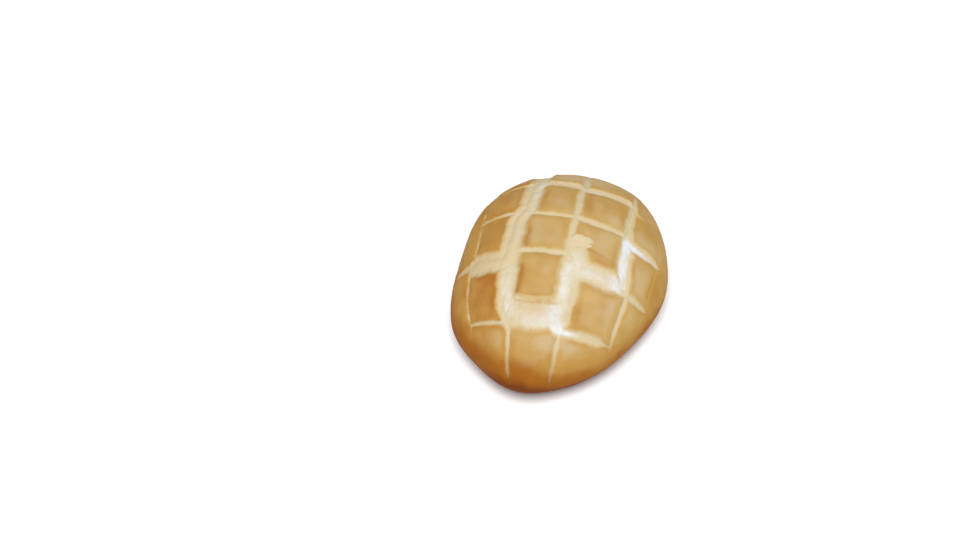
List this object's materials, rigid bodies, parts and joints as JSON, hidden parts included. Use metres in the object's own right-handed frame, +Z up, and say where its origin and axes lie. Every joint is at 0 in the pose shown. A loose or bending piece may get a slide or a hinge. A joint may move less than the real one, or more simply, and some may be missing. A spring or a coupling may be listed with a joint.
{
  "type": "turtle bread roll",
  "caption": "Oval bread roll with a domed crust scored in a lattice, so that it browns in square tiles with pale torn gaps between them, on a flat base.",
  "frame": {"origin": "on the flat base, under the middle of the roll's length and width", "axes": "+Z up from the base, +Y along the roll's length towards its broader end, +X to the right across its width"},
  "size_m": [0.1024, 0.1248, 0.0619],
  "materials": {
    "crust": "satin golden brown bread crust, with pale matt crumb in the scores"
  },
  "bodies": {
    "root": {"turtle_roll": "crust"}
  },
  "joints": []
}
